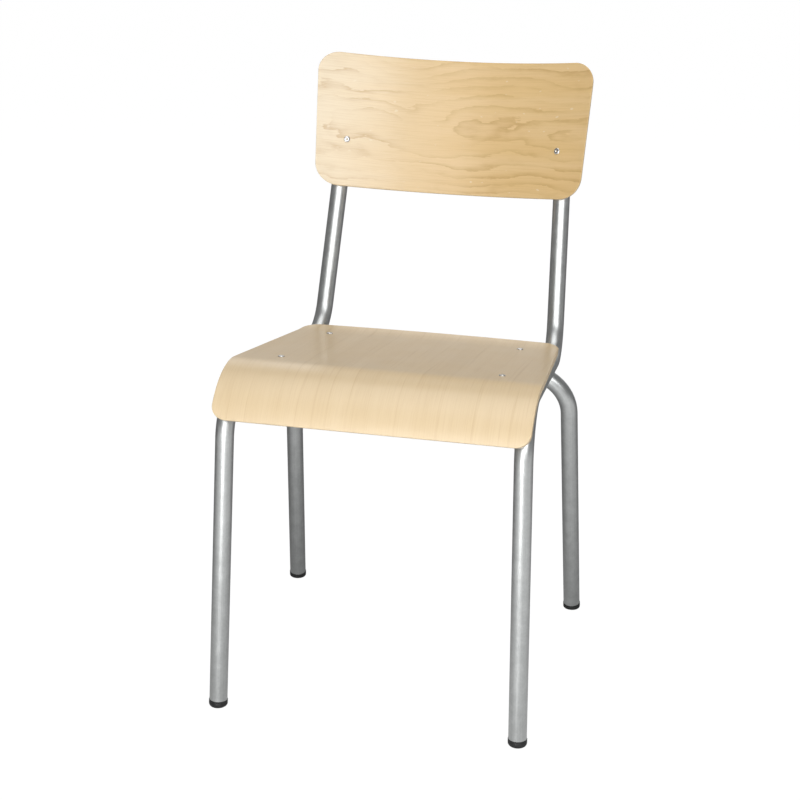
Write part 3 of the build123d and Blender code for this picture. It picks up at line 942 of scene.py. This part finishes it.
# ------------------------------------------------------------------- boards
@dataclass(frozen=True)
class Outline:
    """A four-sided board outline with rounded corners, in flat coordinates.

    The corners run anticlockwise from the low left one.
    """

    corners: tuple[Point2, Point2, Point2, Point2]
    radii: tuple[float, float, float, float]
    arc_steps: int = 10
    wide_steps: int = 40
    tall_steps: int = 40

    def sides(self) -> list[list[Vector]]:
        """The four sides as points, each from corner middle to corner middle."""
        arcs = [self._arc(i) for i in range(4)]
        out = []
        for i in range(4):
            here, there = arcs[i], arcs[(i + 1) % 4]
            half = self.arc_steps
            run = here[half:]
            steps = self.wide_steps if i % 2 == 0 else self.tall_steps
            run += [run[-1].lerp(there[0], k / steps) for k in range(1, steps)]
            run += there[: half + 1]
            out.append(run)
        return out

    def _arc(self, index: int) -> list[Vector]:
        """The points of one rounded corner."""
        corner = Vector(self.corners[index])
        back = (Vector(self.corners[index - 1]) - corner).normalized()
        ahead = (Vector(self.corners[(index + 1) % 4]) - corner).normalized()
        half = back.angle(ahead) / 2
        radius = self.radii[index]
        centre = corner + (back + ahead).normalized() * (radius / math.sin(half))
        begin = corner + back * (radius / math.tan(half)) - centre
        turn = math.pi - 2 * half
        points = []
        for k in range(2 * self.arc_steps + 1):
            angle = turn * k / (2 * self.arc_steps)
            cos, sin = math.cos(angle), math.sin(angle)
            turned = (begin.x * cos - begin.y * sin, begin.x * sin + begin.y * cos)
            points.append(centre + Vector(turned))
        return points


Surface = Callable[[float, float, float], Vector]
Flat = Callable[[float, float], Point2]


@dataclass
class Board:
    """A bent plywood board: two faces and a softly rounded edge."""

    outline: Outline
    surface: Surface
    flatten: Flat
    thickness: float
    edge_radius: float = 0.0009
    edge_steps: int = 4
    wall_steps: int = 6
    warp: Callable[[Vector], Vector] = field(default=lambda p: p)

    def edge_profile(self) -> list[Point2]:
        """The edge's section as (inset, depth) from the front face to the back."""
        r, t = self.edge_radius, self.thickness
        arc = [(r * (1 - sin), r * (1 - cos)) for cos, sin in quarter_steps(self.edge_steps)]
        count = self.wall_steps
        wall = [(0.0, r + (t - 2 * r) * k / count) for k in range(1, count)]
        return arc + wall + [(inset, t - depth) for inset, depth in reversed(arc)]

    def inset_sides(self, sides: list[list[Vector]], inset: float) -> list[list[Vector]]:
        """The outline's sides moved inwards by a distance."""
        ring = [p for side in sides for p in side[:-1]]
        moved = []
        for i, p in enumerate(ring):
            along = (ring[(i + 1) % len(ring)] - ring[i - 1]).normalized()
            moved.append(p + Vector((-along.y, along.x)) * inset)
        out, start = [], 0
        for side in sides:
            count = len(side) - 1
            out.append([moved[(start + k) % len(moved)] for k in range(count + 1)])
            start += count
        return out

    @staticmethod
    def patch(sides: list[list[Vector]]) -> list[list[Vector]]:
        """A grid of points that fills four sides."""
        low, right, high, left = sides[0], sides[1], sides[2][::-1], sides[3][::-1]
        wide, tall = len(low) - 1, len(left) - 1
        rows = []
        for j in range(tall + 1):
            v = j / tall
            row = []
            for i in range(wide + 1):
                u = i / wide
                point = low[i] * (1 - v) + high[i] * v + left[j] * (1 - u) + right[j] * u
                point -= low[0] * (1 - u) * (1 - v) + low[-1] * u * (1 - v)
                point -= high[0] * (1 - u) * v + high[-1] * u * v
                row.append(point)
            rows.append(row)
        return rows

    @staticmethod
    def rim(rows: list[list]) -> list:
        """The border of a grid, anticlockwise from its low left corner."""
        ring = rows[0][:-1] + [row[-1] for row in rows[:-1]]
        return ring + rows[-1][:0:-1] + [row[0] for row in rows[:0:-1]]

    def mesh(self, name: str) -> bpy.types.Mesh:
        """Builds the closed board with its grain and ply attributes.

        Args:
            name: The mesh's name.

        Returns:
            The mesh, in place in the chair.
        """
        sides = [[self.warp(p) for p in side] for side in self.outline.sides()]
        bm = bmesh.new()
        grain = bm.verts.layers.float_vector.new("grain")
        ply = bm.verts.layers.float.new("ply")

        def vertex(p: Vector, depth: float) -> bmesh.types.BMVert:
            """One vertex with its attributes."""
            vert = bm.verts.new(self.surface(p.x, p.y, depth))
            flat = self.flatten(p.x, p.y)
            vert[grain] = (flat[0], flat[1], depth)
            vert[ply] = depth / self.thickness
            return vert

        profile = self.edge_profile()
        rings = []
        for index, (inset, depth) in enumerate(profile):
            moved = self.inset_sides(sides, inset)
            if index in (0, len(profile) - 1):
                rows = [[vertex(p, depth) for p in row] for row in self.patch(moved)]
                for low, high in zip(rows, rows[1:]):
                    for i in range(len(low) - 1):
                        bm.faces.new((low[i], low[i + 1], high[i + 1], high[i]))
                rings.append(self.rim(rows))
            else:
                ring = [p for side in moved for p in side[:-1]]
                rings.append([vertex(p, depth) for p in ring])
        for near, far in zip(rings, rings[1:]):
            for i in range(len(near)):
                n = (i + 1) % len(near)
                bm.faces.new((near[i], near[n], far[n], far[i]))
        bmesh.ops.recalc_face_normals(bm, faces=bm.faces)
        return smooth_mesh(bm, name)

    def put(self, name: str, plywood: bpy.types.Material, slot: str, node: str) -> None:
        """Makes the board's piece and puts it on the chair in place of its CAD node."""
        piece = object_of(name, self.mesh(name))
        piece.data.materials.append(plywood)
        hand_over(piece, slot, node)


@dataclass
class SeatBoard:
    """The moulded seat: flat over the rails, dropped at the front, lifted at the rear."""

    tubes: TubeFrame
    thickness: float = 0.009
    drop_radius: float = 0.097
    drop_start: float = -0.181
    drop_height: float = 0.425
    lift_start: float = 0.063
    lift_radius: float = 0.2175
    rear_edge: float = 0.109
    rear_bow: float = 0.0042
    front_half: float = 0.212
    rear_half: float = 0.1925
    rear_corner: float = 0.024
    drop_corner: float = 0.020

    def __post_init__(self) -> None:
        """Works out the seat's side line from its sizes."""
        t = self.tubes
        run = t.rear_corner - t.front_corner
        self.slope = math.atan2(-run.z, run.y)
        self.ahead = Vector((0, -math.cos(self.slope), math.sin(self.slope)))
        self.up = Vector((0, math.sin(self.slope), math.cos(self.slope)))
        rail = t.rail_at(self.drop_start)
        foot = Vector((0, rail.y, rail.z + t.radius / math.cos(self.slope)))
        self.bend = foot + self.up * self.thickness
        self.centre = self.bend - self.up * self.drop_radius
        fall = (self.drop_height - self.centre.z) / self.drop_radius
        self.sweep = math.pi / 2 + self.slope - math.asin(fall)
        self.drop_length = self.sweep * self.drop_radius
        self.flat_length = (self.lift_start - self.drop_start) / math.cos(self.slope)
        top_radius = self.lift_radius - self.thickness
        turn = (self.rear_edge - self.lift_start) / self.lift_radius
        self.lift_length = turn * top_radius
        self.length = self.drop_length + self.flat_length + self.lift_length

    def section(self, s: float) -> tuple[Vector, Vector]:
        """The side line at a distance from the front edge.

        Args:
            s: Distance along the top face from its front lower edge.

        Returns:
            The point on the top face and the face's outward normal.
        """
        if s < self.drop_length:
            turn = (self.drop_length - s) / self.drop_radius
            normal = self.up * math.cos(turn) + self.ahead * math.sin(turn)
            return self.centre + normal * self.drop_radius, normal
        run = s - self.drop_length
        if run <= self.flat_length:
            return self.bend - self.ahead * run, self.up.copy()
        top_radius = self.lift_radius - self.thickness
        turn = (run - self.flat_length) / top_radius
        pivot = self.bend - self.ahead * self.flat_length + self.up * top_radius
        normal = self.up * math.cos(turn) + self.ahead * math.sin(turn)
        return pivot - normal * top_radius, normal

    def surface(self, x: float, s: float, depth: float) -> Vector:
        """A point of the board at a depth under its top face."""
        point, normal = self.section(s)
        point = point - normal * depth
        return Vector((x, point.y, point.z))

    def tapered(self, p: Vector) -> Vector:
        """Narrows the flat part towards the rear and bows the rear edge."""
        behind = max(0.0, (p.y - self.drop_length) / (self.length - self.drop_length))
        x = p.x * (1 - behind * (1 - self.rear_half / self.front_half))
        late = max(0.0, 2 * behind - 1)
        return Vector((x, p.y - self.rear_bow * (x / self.rear_half) ** 2 * late * late))

    def build(self, plywood: bpy.types.Material) -> None:
        """Makes the seat and puts it on the chair.

        Args:
            plywood: The seat's finish.
        """
        half = self.front_half
        outline = Outline(
            ((-half, 0.0), (half, 0.0), (half, self.length), (-half, self.length)),
            (self.drop_corner, self.drop_corner, self.rear_corner, self.rear_corner),
            wide_steps=36,
            tall_steps=96,
        )
        board = Board(outline, self.surface, lambda x, s: (x, s), self.thickness, warp=self.tapered)
        board.put("seat_plywood_board", plywood, "seat_plywood", "seat_board")


@dataclass
class BackBoard:
    """The curved back board, concave towards the sitter, leaning back."""

    tubes: TubeFrame
    thickness: float = 0.0075
    radius: float = 0.425
    level: float = 0.720
    top: float = 0.1102
    bottom: float = -0.0903
    top_half: float = 0.209
    bottom_half: float = 0.2006
    top_corner: float = 0.030
    bottom_corner: float = 0.0335
    fit_gap: float = 0.00005

    def __post_init__(self) -> None:
        """Works out the curve's centre and the board's lean from the uprights."""
        t = self.tubes
        run = t.upright_top - t.rear_corner
        axis = t.rear_corner + run * ((self.level - t.rear_corner.z) / run.z)
        reach = self.radius + self.thickness + t.radius + self.fit_gap
        forward = math.sqrt(reach**2 - axis.x**2)
        lean = math.atan2(run.y, run.z)
        lean -= axis.x / forward * -run.x / run.z * math.cos(lean)
        self.up = Vector((0, math.sin(lean), math.cos(lean)))
        self.front = Vector((0, -math.cos(lean), math.sin(lean)))
        self.pivot = Vector((0, axis.y, axis.z)) + self.front * forward

    def surface(self, x: float, v: float, depth: float) -> Vector:
        """A point of the board at a depth behind its front face."""
        reach = self.radius + depth
        middle = self.pivot + self.up * v
        return middle + Vector((x, 0, 0)) - self.front * math.sqrt(reach * reach - x * x)

    def flatten(self, x: float, v: float) -> Point2:
        """The flat coordinates of a point of the front face."""
        return self.radius * math.asin(x / self.radius), v

    def build(self, plywood: bpy.types.Material) -> None:
        """Makes the back board and puts it on the chair.

        Args:
            plywood: The board's finish.
        """
        low, high = self.bottom_half, self.top_half
        outline = Outline(
            ((-low, self.bottom), (low, self.bottom), (high, self.top), (-high, self.top)),
            (self.bottom_corner, self.bottom_corner, self.top_corner, self.top_corner),
            wide_steps=64,
            tall_steps=24,
        )
        board = Board(outline, self.surface, self.flatten, self.thickness)
        board.put("back_plywood_board", plywood, "back_plywood", "back_board")


# ------------------------------------------------------------------- rivets
@dataclass
class Rivets:
    """The four seat rivets and the two back rivets, head and tail."""

    seat: SeatBoard
    back: BackBoard
    head_radius: float = 0.0048
    head_height: float = 0.0016
    bore_radius: float = 0.0012
    bore_depth: float = 0.0030
    tail_radius: float = 0.0038
    shank_radius: float = 0.0024
    bore_edge: float = 0.0002
    rim_height: float = 0.0003
    seed: int = 11

    def pattern(self, grip: float) -> bpy.types.Object:
        """One rivet about Z with its head's underside at the origin.

        Args:
            grip: Distance from the head to the formed tail.

        Returns:
            A mesh object for the setting tree to repeat.
        """
        r, h, bore = self.head_radius, self.head_height, self.bore_radius
        floor, brim, rim = h - self.bore_depth, bore + self.bore_edge, self.rim_height
        profile = [(0.0, floor), (bore, floor), (bore, h - self.bore_edge)]
        for cos, sin in quarter_steps(7, first=1):
            profile.append((brim + (r - brim) * sin, rim + (h - rim) * cos))
        profile += [(r, 0.0), (self.shank_radius, 0.0), (self.shank_radius, -grip)]
        tail = self.tail_radius
        profile += [(tail, -grip), (tail, -grip - h * 0.5)]
        profile += [(tail * 0.7, -grip - h), (0.0, -grip - h)]
        bm = lathe(profile, 40)
        # Marks the bore's walls and floor, where the material paints shade.
        layer = bm.verts.layers.float.new("hollow")
        for vert in bm.verts:
            inside = vert.co.xy.length < bore * 1.02
            vert[layer] = 1.0 if inside and floor - 0.0001 < vert.co.z < h - 0.00025 else 0.0
        return object_of("rivet_pattern", smooth_mesh(bm, "rivet_pattern"))

    def set(self, tree: GeometryTree, name: str, nodes: Sequence[str], aims: Sequence[Vector],
            grip: float, steel: bpy.types.Material) -> None:
        """Sets one group of rivets on its heads' places.

        Args:
            tree: The rivet setting tree.
            name: The finished piece's name.
            nodes: The CAD nodes that the rivets stand for.
            aims: The way out of the board for each rivet.
            grip: Distance from the head to the formed tail.
            steel: The rivets' finish.
        """
        heads = [middle_of(node) + aim * (grip / 2) for node, aim in zip(nodes, aims)]
        carrier = thread(name + "_points", heads)
        carrier.data.attributes.new("aim", "FLOAT_VECTOR", "POINT")
        carrier.data.attributes["aim"].data.foreach_set("vector", [c for aim in aims for c in aim])
        pattern = self.pattern(grip)
        piece = tree.bake(carrier, name, Rivet=pattern, Seed=self.seed, Finish=steel)
        bpy.data.objects.remove(pattern)
        hand_over(piece, "rivet_steel", *nodes)

    def build(self, tree: GeometryTree, steel: bpy.types.Material) -> None:
        """Sets the seat's and the back's rivets.

        Args:
            tree: The rivet setting tree.
            steel: The rivets' finish.
        """
        tubes = self.seat.tubes
        grip = self.seat.thickness + tubes.radius - tubes.cross_lift + tubes.cross_radius
        nodes = [f"rivet_{end}_{side.word}" for end in ("front", "rear") for side in Side]
        self.set(tree, "seat_rivets", nodes, [self.seat.up] * 4, grip, steel)
        nodes = [f"back_rivet_{side.word}" for side in Side]
        aims = []
        for node in nodes:
            middle = middle_of(node)
            height = (middle - self.back.pivot).dot(self.back.up)
            aims.append((self.back.pivot + self.back.up * height - middle).normalized())
        grip = self.back.thickness + 2 * tubes.radius
        self.set(tree, "back_rivets", nodes, aims, grip, steel)


# ----------------------------------------------------------- caps and plugs
@dataclass
class FootCaps:
    """The four moulded caps that the legs stand on."""

    tubes: TubeFrame
    radius: float = 0.0131
    edge: float = 0.004
    lip: float = 0.0005
    groove: float = 0.0002
    groove_drops: tuple[float, float, float] = (0.0026, 0.0022, 0.0018)
    sides: int = 64

    def rings(self) -> list[tuple[float, float]]:
        """The cap's section as (distance up the leg, radius)."""
        top, r, edge, lip = self.tubes.foot_height, self.radius, self.edge, self.lip
        low, deep, high = self.groove_drops
        out = [(edge * (1 - cos), r - edge * (1 - sin)) for cos, sin in quarter_steps(6)]
        out += [(top - low, r), (top - deep, r - self.groove), (top - high, r), (top - lip, r)]
        return out + [(top - lip * 0.3, r - lip * 0.3), (top, r - lip)]

    def cap(self, foot: Vector, corner: Vector, name: str) -> bpy.types.Mesh:
        """One cap on its leg's axis, flat on the floor.

        Args:
            foot: Where the leg's axis meets the floor.
            corner: The leg's first bend corner.
            name: The mesh's name.

        Returns:
            The closed mesh.
        """
        axis = (corner - foot).normalized()
        side = Vector((0, 1, 0)).cross(axis).normalized()
        ahead = axis.cross(side)
        bm = bmesh.new()
        rows = []
        for rise, radius in self.rings():
            level = max(0.0, 1 - rise / self.edge)
            centre = foot + axis * rise
            row = []
            for cos, sin in round_steps(self.sides):
                p = centre + (side * cos + ahead * sin) * radius
                p.z = p.z * (1 - level) + rise * level
                row.append(bm.verts.new(p))
            rows.append(row)
        for low, high in zip(rows, rows[1:]):
            for k in range(self.sides):
                n = (k + 1) % self.sides
                bm.faces.new((low[k], low[n], high[n], high[k]))
        bm.faces.new(rows[0][::-1])
        bm.faces.new(rows[-1])
        bmesh.ops.recalc_face_normals(bm, faces=bm.faces)
        return smooth_mesh(bm, name)

    def build(self, plastic: bpy.types.Material) -> None:
        """Makes the four caps and puts them on the chair.

        Args:
            plastic: The caps' finish.
        """
        t = self.tubes
        front = ("front", t.front_foot, t.front_corner)
        for end, foot, corner in (front, ("rear", t.rear_foot, t.hoop_corner)):
            for side in Side:
                name = f"cap_{end}_{side.word}"
                mesh = self.cap(both_sides(foot, side), both_sides(corner, side), name)
                put_moulding(mesh, plastic, "foot_plastic", f"foot_{end}_{side.word}")


@dataclass
class UprightPlugs:
    """The domed plugs in the open tops of the uprights."""

    tubes: TubeFrame
    head: float = 0.0035
    rim: float = 0.0006
    bevel: float = 0.0002
    sides: int = 64

    def build(self, plastic: bpy.types.Material) -> None:
        """Makes the two plugs and puts them on the chair.

        Args:
            plastic: The plugs' finish.
        """
        t = self.tubes
        r = t.radius
        profile = [(0.0, 0.0), (r - self.bevel, 0.0), (r, self.bevel), (r, self.rim)]
        dome = self.head - self.rim
        profile += [(r * cos, self.rim + dome * sin) for cos, sin in quarter_steps(8, first=1)]
        profile[-1] = (0.0, self.head)
        for side in Side:
            axis = both_sides(t.upright_top - t.rear_corner, side)
            turn = axis.to_track_quat("Z", "Y").to_matrix().to_4x4()
            bm = lathe(profile, self.sides)
            bm.transform(Matrix.Translation(both_sides(t.upright_top, side)) @ turn)
            mesh = smooth_mesh(bm, f"plug_top_{side.word}")
            put_moulding(mesh, plastic, "plug_plastic", f"plug_{side.word}")


def put_moulding(
    mesh: bpy.types.Mesh,
    plastic: bpy.types.Material,
    slot: str,
    node: str,
    angle: float = math.radians(40),
) -> None:
    """Marks a moulding's edges sharp above an angle and puts it on the chair."""
    bm = bmesh.new()
    bm.from_mesh(mesh)
    for edge in bm.edges:
        if len(edge.link_faces) == 2 and edge.calc_face_angle(0.0) > angle:
            edge.smooth = False
    bm.to_mesh(mesh)
    bm.free()
    mesh.materials.append(plastic)
    hand_over(object_of(mesh.name, mesh), slot, node)


# ------------------------------------------------------------------- studio
@dataclass
class Studio:
    """A plain pale floor, soft lights and the camera."""

    azimuth: float = math.radians(13.07)
    pitch: float = math.radians(19.31)
    roll: float = math.radians(0.80)
    eye: Vector = field(default_factory=lambda: Vector((0.505, -2.252, 1.189)))
    lens: float = 76.23
    shift: Point2 = (-0.00350, -0.00410)
    paper: float = 0.84
    seen_paper: float = 0.06
    seen_glow: float = 0.985
    floor_slant: Point2 = (-0.35, 0.94)
    floor_fade: Point2 = (-0.9, 0.45)
    floor_gloss: Point2 = (0.78, 0.18)
    room_fade: Point2 = (0.72, 0.92)
    room_glow: Point2 = (0.26, 0.66)

    def floor(self) -> None:
        """Lays the floor, white to look at and quieter in light and reflections."""
        bm = bmesh.new()
        bmesh.ops.create_circle(bm, cap_ends=True, segments=96, radius=40.0)
        mesh = bpy.data.meshes.new("studio_floor")
        bm.to_mesh(mesh)
        bm.free()
        floor = object_of("studio_floor", mesh)
        material = bpy.data.materials.new("studio_paper")
        material.use_nodes = True
        b = Bench(material.node_tree)
        material.node_tree.nodes.clear()
        out = b.add("ShaderNodeOutputMaterial")
        paper = b.add("ShaderNodeBsdfDiffuse")
        b.feeds(paper, Color=(self.paper, self.paper, self.paper, 1.0))
        faint = b.add("ShaderNodeBsdfDiffuse")
        b.feeds(faint, Color=(self.seen_paper, self.seen_paper, self.seen_paper, 1.0))
        glow = b.add("ShaderNodeEmission")
        b.feeds(glow, Strength=self.seen_glow)
        white = b.add("ShaderNodeAddShader")
        b.feed(white.inputs[0], faint.outputs[0])
        b.feed(white.inputs[1], glow.outputs[0])
        quiet = b.add("ShaderNodeEmission")
        place = b.split(b.object_place())
        slant_x, slant_y = self.floor_slant
        slant = b.math("MULTIPLY_ADD", place[0], slant_x, b.times(place[1], slant_y))
        b.feeds(quiet, Strength=b.spread(slant, *self.floor_fade, *self.floor_gloss))
        soft = b.by_ray("Is Glossy Ray", paper.outputs[0], quiet.outputs[0])
        b.feed(out.inputs[0], b.by_ray("Is Camera Ray", soft, white.outputs[0]))
        mesh.materials.append(material)

    def light(
        self, name: str, place: Vector, aim: Vector, size: Point2, power: float, shine: bool = True
    ) -> None:
        """Hangs one rectangular soft light that points at a spot of the chair.

        Args:
            name: The light's name.
            place: Where it hangs.
            aim: The spot it points at.
            size: Its width and height.
            power: Its power in watts.
            shine: Whether reflections show it.
        """
        lamp = bpy.data.lights.new(name, "AREA")
        lamp.shape = "RECTANGLE"
        lamp.size, lamp.size_y = size
        lamp.energy = power
        holder = object_of(name, lamp)
        holder.location = place
        holder.rotation_euler = (aim - place).to_track_quat("-Z", "Y").to_euler()
        holder.visible_camera = False
        holder.visible_glossy = shine

    def lights(self) -> None:
        """Hangs every light and sets the room's own glow."""
        middle = Vector((0.0, 0.0, 0.5))
        low = Vector((0.0, 0.0, 0.35))
        self.light("key_box", Vector((1.55, -2.70, 2.05)), middle, (2.4, 1.2), 42.0)
        self.light("front_box", Vector((-0.45, -3.0, 2.00)), middle, (1.2, 1.0), 15.5)
        self.light("low_fill", Vector((-0.05, -2.0, 0.35)), low, (0.7, 0.5), 12.0)
        self.light("side_fill", Vector((2.3, 0.2, 0.25)), low, (1.6, 0.5), 6.0, shine=False)
        self.light("top_box", Vector((0.1, 0.0, 3.0)), middle, (2.2, 2.2), 24.0)
        self.light("rear_box", Vector((-0.9, 2.8, 2.35)), middle, (2.6, 1.5), 15.0)
        world = bpy.data.worlds.new("studio_room")
        bpy.context.scene.world = world
        world.use_nodes = True
        b = Bench(world.node_tree)
        world.node_tree.nodes.clear()
        out = b.add("ShaderNodeOutputWorld")
        seen = b.add("ShaderNodeBackground")
        b.feeds(seen, Color=(1.0, 1.0, 1.0, 1.0), Strength=1.0)
        way = b.split(b.add("ShaderNodeTexCoord").outputs["Generated"])
        room = b.add("ShaderNodeBackground")
        b.feeds(room, Strength=b.spread(way[1], *self.room_fade, *self.room_glow))
        b.feed(out.inputs[0], b.by_ray("Is Camera Ray", room.outputs[0], seen.outputs[0]))

    def camera(self) -> None:
        """Sets the camera at its angle, with depth of field off."""
        a, e = self.azimuth, self.pitch
        ahead = Vector((-math.sin(a) * math.cos(e), math.cos(a) * math.cos(e), -math.sin(e)))
        right = Vector((math.cos(a), math.sin(a), 0.0))
        up = right.cross(ahead)
        c, s = math.cos(self.roll), math.sin(self.roll)
        x_axis, y_axis = right * c + up * s, up * c - right * s
        turn = Matrix((x_axis, y_axis, -ahead)).transposed()
        lens = bpy.data.cameras.new("studio_camera")
        lens.sensor_width = 36.0
        lens.lens = self.lens
        lens.shift_x, lens.shift_y = self.shift
        lens.clip_end = 200.0
        camera = object_of("studio_camera", lens)
        camera.matrix_world = Matrix.Translation(self.eye) @ turn.to_4x4()
        bpy.context.scene.camera = camera

    def build(self) -> None:
        """Sets up the whole studio."""
        self.floor()
        self.lights()
        self.camera()
        view = bpy.context.scene.view_settings
        view.view_transform = "Standard"
        view.look = "None"


def main() -> None:
    """Builds the chair piece by piece, then the studio round it."""
    logging.basicConfig(level=logging.INFO, format="%(name)s: %(message)s")
    steel = TubeSteel().build()
    tubes = TubeFrame()
    tubes.build(tube_tree(), steel)
    WeldBeads(tubes).build(bead_tree(), WeldSteel().build())
    seat = SeatBoard(tubes)
    # The seat's painted sheen pales the front drop, standing in for lamp reflection there.
    seat_look = Figure(
        streaks=0.32, fibres=0.16, bands=0.9, sapwood=0.28, sap_from=0.02, sap_to=0.17
    )
    seat.build(
        Plywood(
            name="seat_face_veneer",
            way=GrainWay.DOWN,
            figure=seat_look,
            pale=(0.750, 0.575, 0.345, 1.0),
            body=(0.710, 0.530, 0.300, 1.0),
            line=(0.52, 0.33, 0.13, 1.0),
        ).build()
    )
    back = BackBoard(tubes)
    back_look = Figure(
        flames=0.58,
        fibres=0.20,
        bands=0.9,
        smudges=0.22,
        specks=0.5,
        # The back's painted sheen pales its left side, standing in for lamp reflection there.
        sapwood=0.90,
        sap_from=-0.24,
        sap_to=0.0,
    )
    back.build(
        Plywood(
            name="back_face_veneer",
            way=GrainWay.ACROSS,
            figure=back_look,
            pale=(0.745, 0.545, 0.285, 1.0),
            body=(0.710, 0.500, 0.235, 1.0),
            line=(0.47, 0.275, 0.085, 1.0),
        ).build()
    )
    Rivets(seat, back).build(rivet_tree(), RivetSteel().build())
    FootCaps(tubes).build(CapPlastic("foot_cap_plastic").build())
    UprightPlugs(tubes).build(CapPlastic("plug_plastic_black", scuff_height=0.0001).build())
    Studio().build()


if __name__ == "__main__":
    main()
